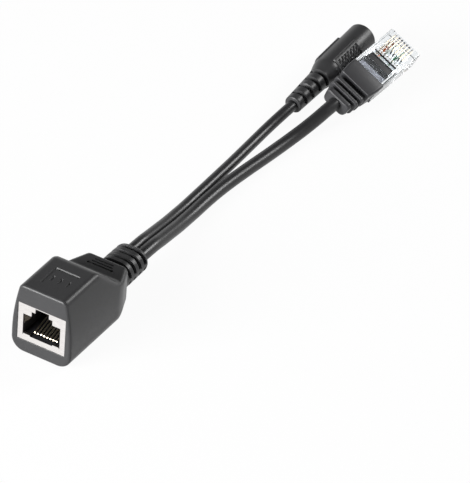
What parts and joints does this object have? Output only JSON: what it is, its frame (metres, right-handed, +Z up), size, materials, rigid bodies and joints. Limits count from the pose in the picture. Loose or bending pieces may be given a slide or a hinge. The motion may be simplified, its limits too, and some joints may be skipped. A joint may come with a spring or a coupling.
{
  "type": "power over ethernet adapter cable",
  "caption": "Short adapter cable: a moulded housing with a shielded network jack, and two leads that end in a round power socket and a clear network plug in a ribbed boot.",
  "frame": {"origin": "on the surface it lies on, under the middle of the housing with its strain relief", "axes": "+Y from the jack along the leads to the plug, +X to the right seen from the front of the jack, +Z up"},
  "size_m": [0.0268, 0.1835, 0.0226],
  "materials": {
    "black_pvc": "satin moulded PVC, fine grain",
    "lead_sheath": "satin extruded PVC",
    "black_insert": "smooth moulded plastic",
    "nickel": "bright nickel plate",
    "gold_plate": "gold plated",
    "clear_plastic": "clear, polished",
    "wire_white_orange": "smooth insulation",
    "wire_orange": "smooth insulation",
    "wire_white_green": "smooth insulation",
    "wire_green": "smooth insulation",
    "wire_red": "smooth insulation",
    "wire_black": "smooth insulation"
  },
  "bodies": {
    "root": {"housing": "black_pvc", "jack_shield": "nickel", "jack_insert": "black_insert", "jack_contact_1": "gold_plate", "jack_contact_2": "gold_plate", "jack_contact_3": "gold_plate", "jack_contact_4": "gold_plate", "jack_contact_5": "gold_plate", "jack_contact_6": "gold_plate", "jack_contact_7": "gold_plate", "jack_contact_8": "gold_plate", "data_wire_1": "wire_white_orange", "data_wire_2": "wire_orange", "data_wire_3": "wire_white_green", "data_wire_6": "wire_green", "power_wire_plus": "wire_red", "power_wire_minus": "wire_black", "power_lead": "lead_sheath", "power_socket": "black_pvc", "socket_insulator": "black_insert", "socket_sleeve": "nickel", "socket_pin": "nickel", "network_lead": "lead_sheath", "plug_boot": "black_pvc", "plug_body": "clear_plastic", "plug_blade_1": "gold_plate", "plug_blade_2": "gold_plate", "plug_blade_3": "gold_plate", "plug_blade_4": "gold_plate", "plug_blade_5": "gold_plate", "plug_blade_6": "gold_plate", "plug_blade_7": "gold_plate", "plug_blade_8": "gold_plate", "plug_wire_1": "wire_white_orange", "plug_wire_2": "wire_orange", "plug_wire_3": "wire_white_green", "plug_wire_6": "wire_green"}
  },
  "joints": []
}
